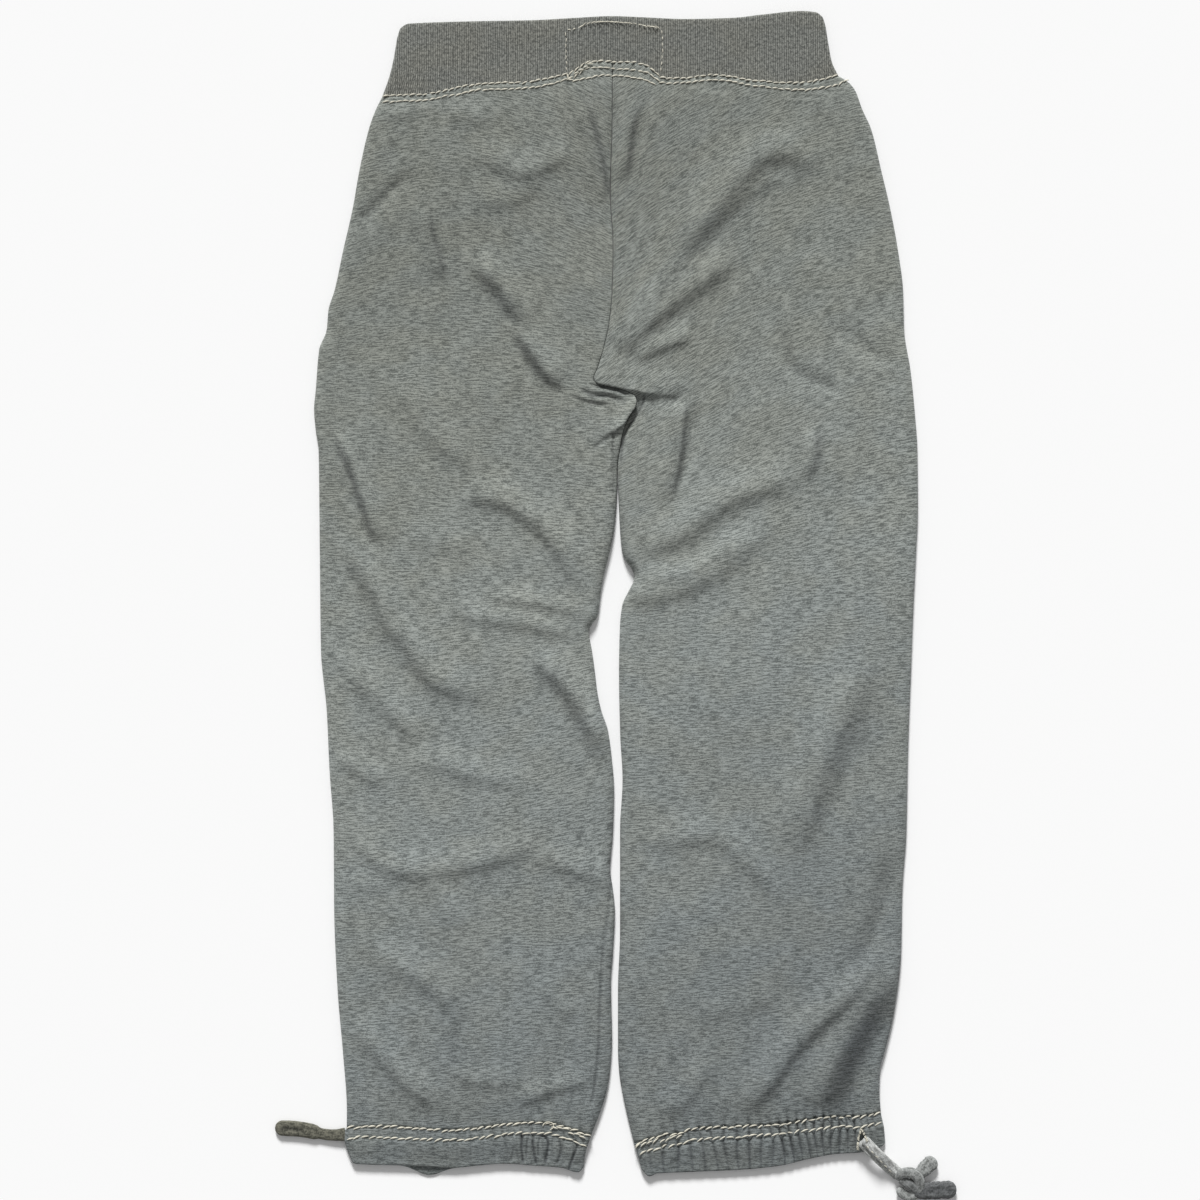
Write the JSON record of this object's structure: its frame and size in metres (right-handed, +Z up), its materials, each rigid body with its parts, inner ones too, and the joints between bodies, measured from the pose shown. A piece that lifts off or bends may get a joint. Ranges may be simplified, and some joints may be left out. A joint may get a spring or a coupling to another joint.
{
  "type": "jogger sweatpants laid flat",
  "caption": "Fleece jogger sweatpants laid flat, back side up, with a ribbed waistband, gathered hem casings and short drawcords at the ankles.",
  "frame": {"origin": "middle of the garment's box, on the surface that it lies on", "axes": "+Y towards the waist, +X to the right of the picture, +Z up out of the back of the garment"},
  "size_m": [0.5934, 1.0325, 0.0131],
  "materials": {
    "fleece": "matte marled jersey",
    "rib_knit": "matte one by one rib",
    "cord_cloth": "matte jersey",
    "thread": "matte cotton thread"
  },
  "bodies": {
    "root": {"front_left": "fleece", "front_right": "fleece", "back_left": "fleece", "back_right": "fleece", "waistband": "rib_knit", "hem_casing_left": "fleece", "hem_casing_right": "fleece", "drawcord_left": "cord_cloth", "drawcord_right_lower": "cord_cloth", "drawcord_right_upper": "cord_cloth", "drawcord_knot": "cord_cloth"}
  },
  "joints": []
}
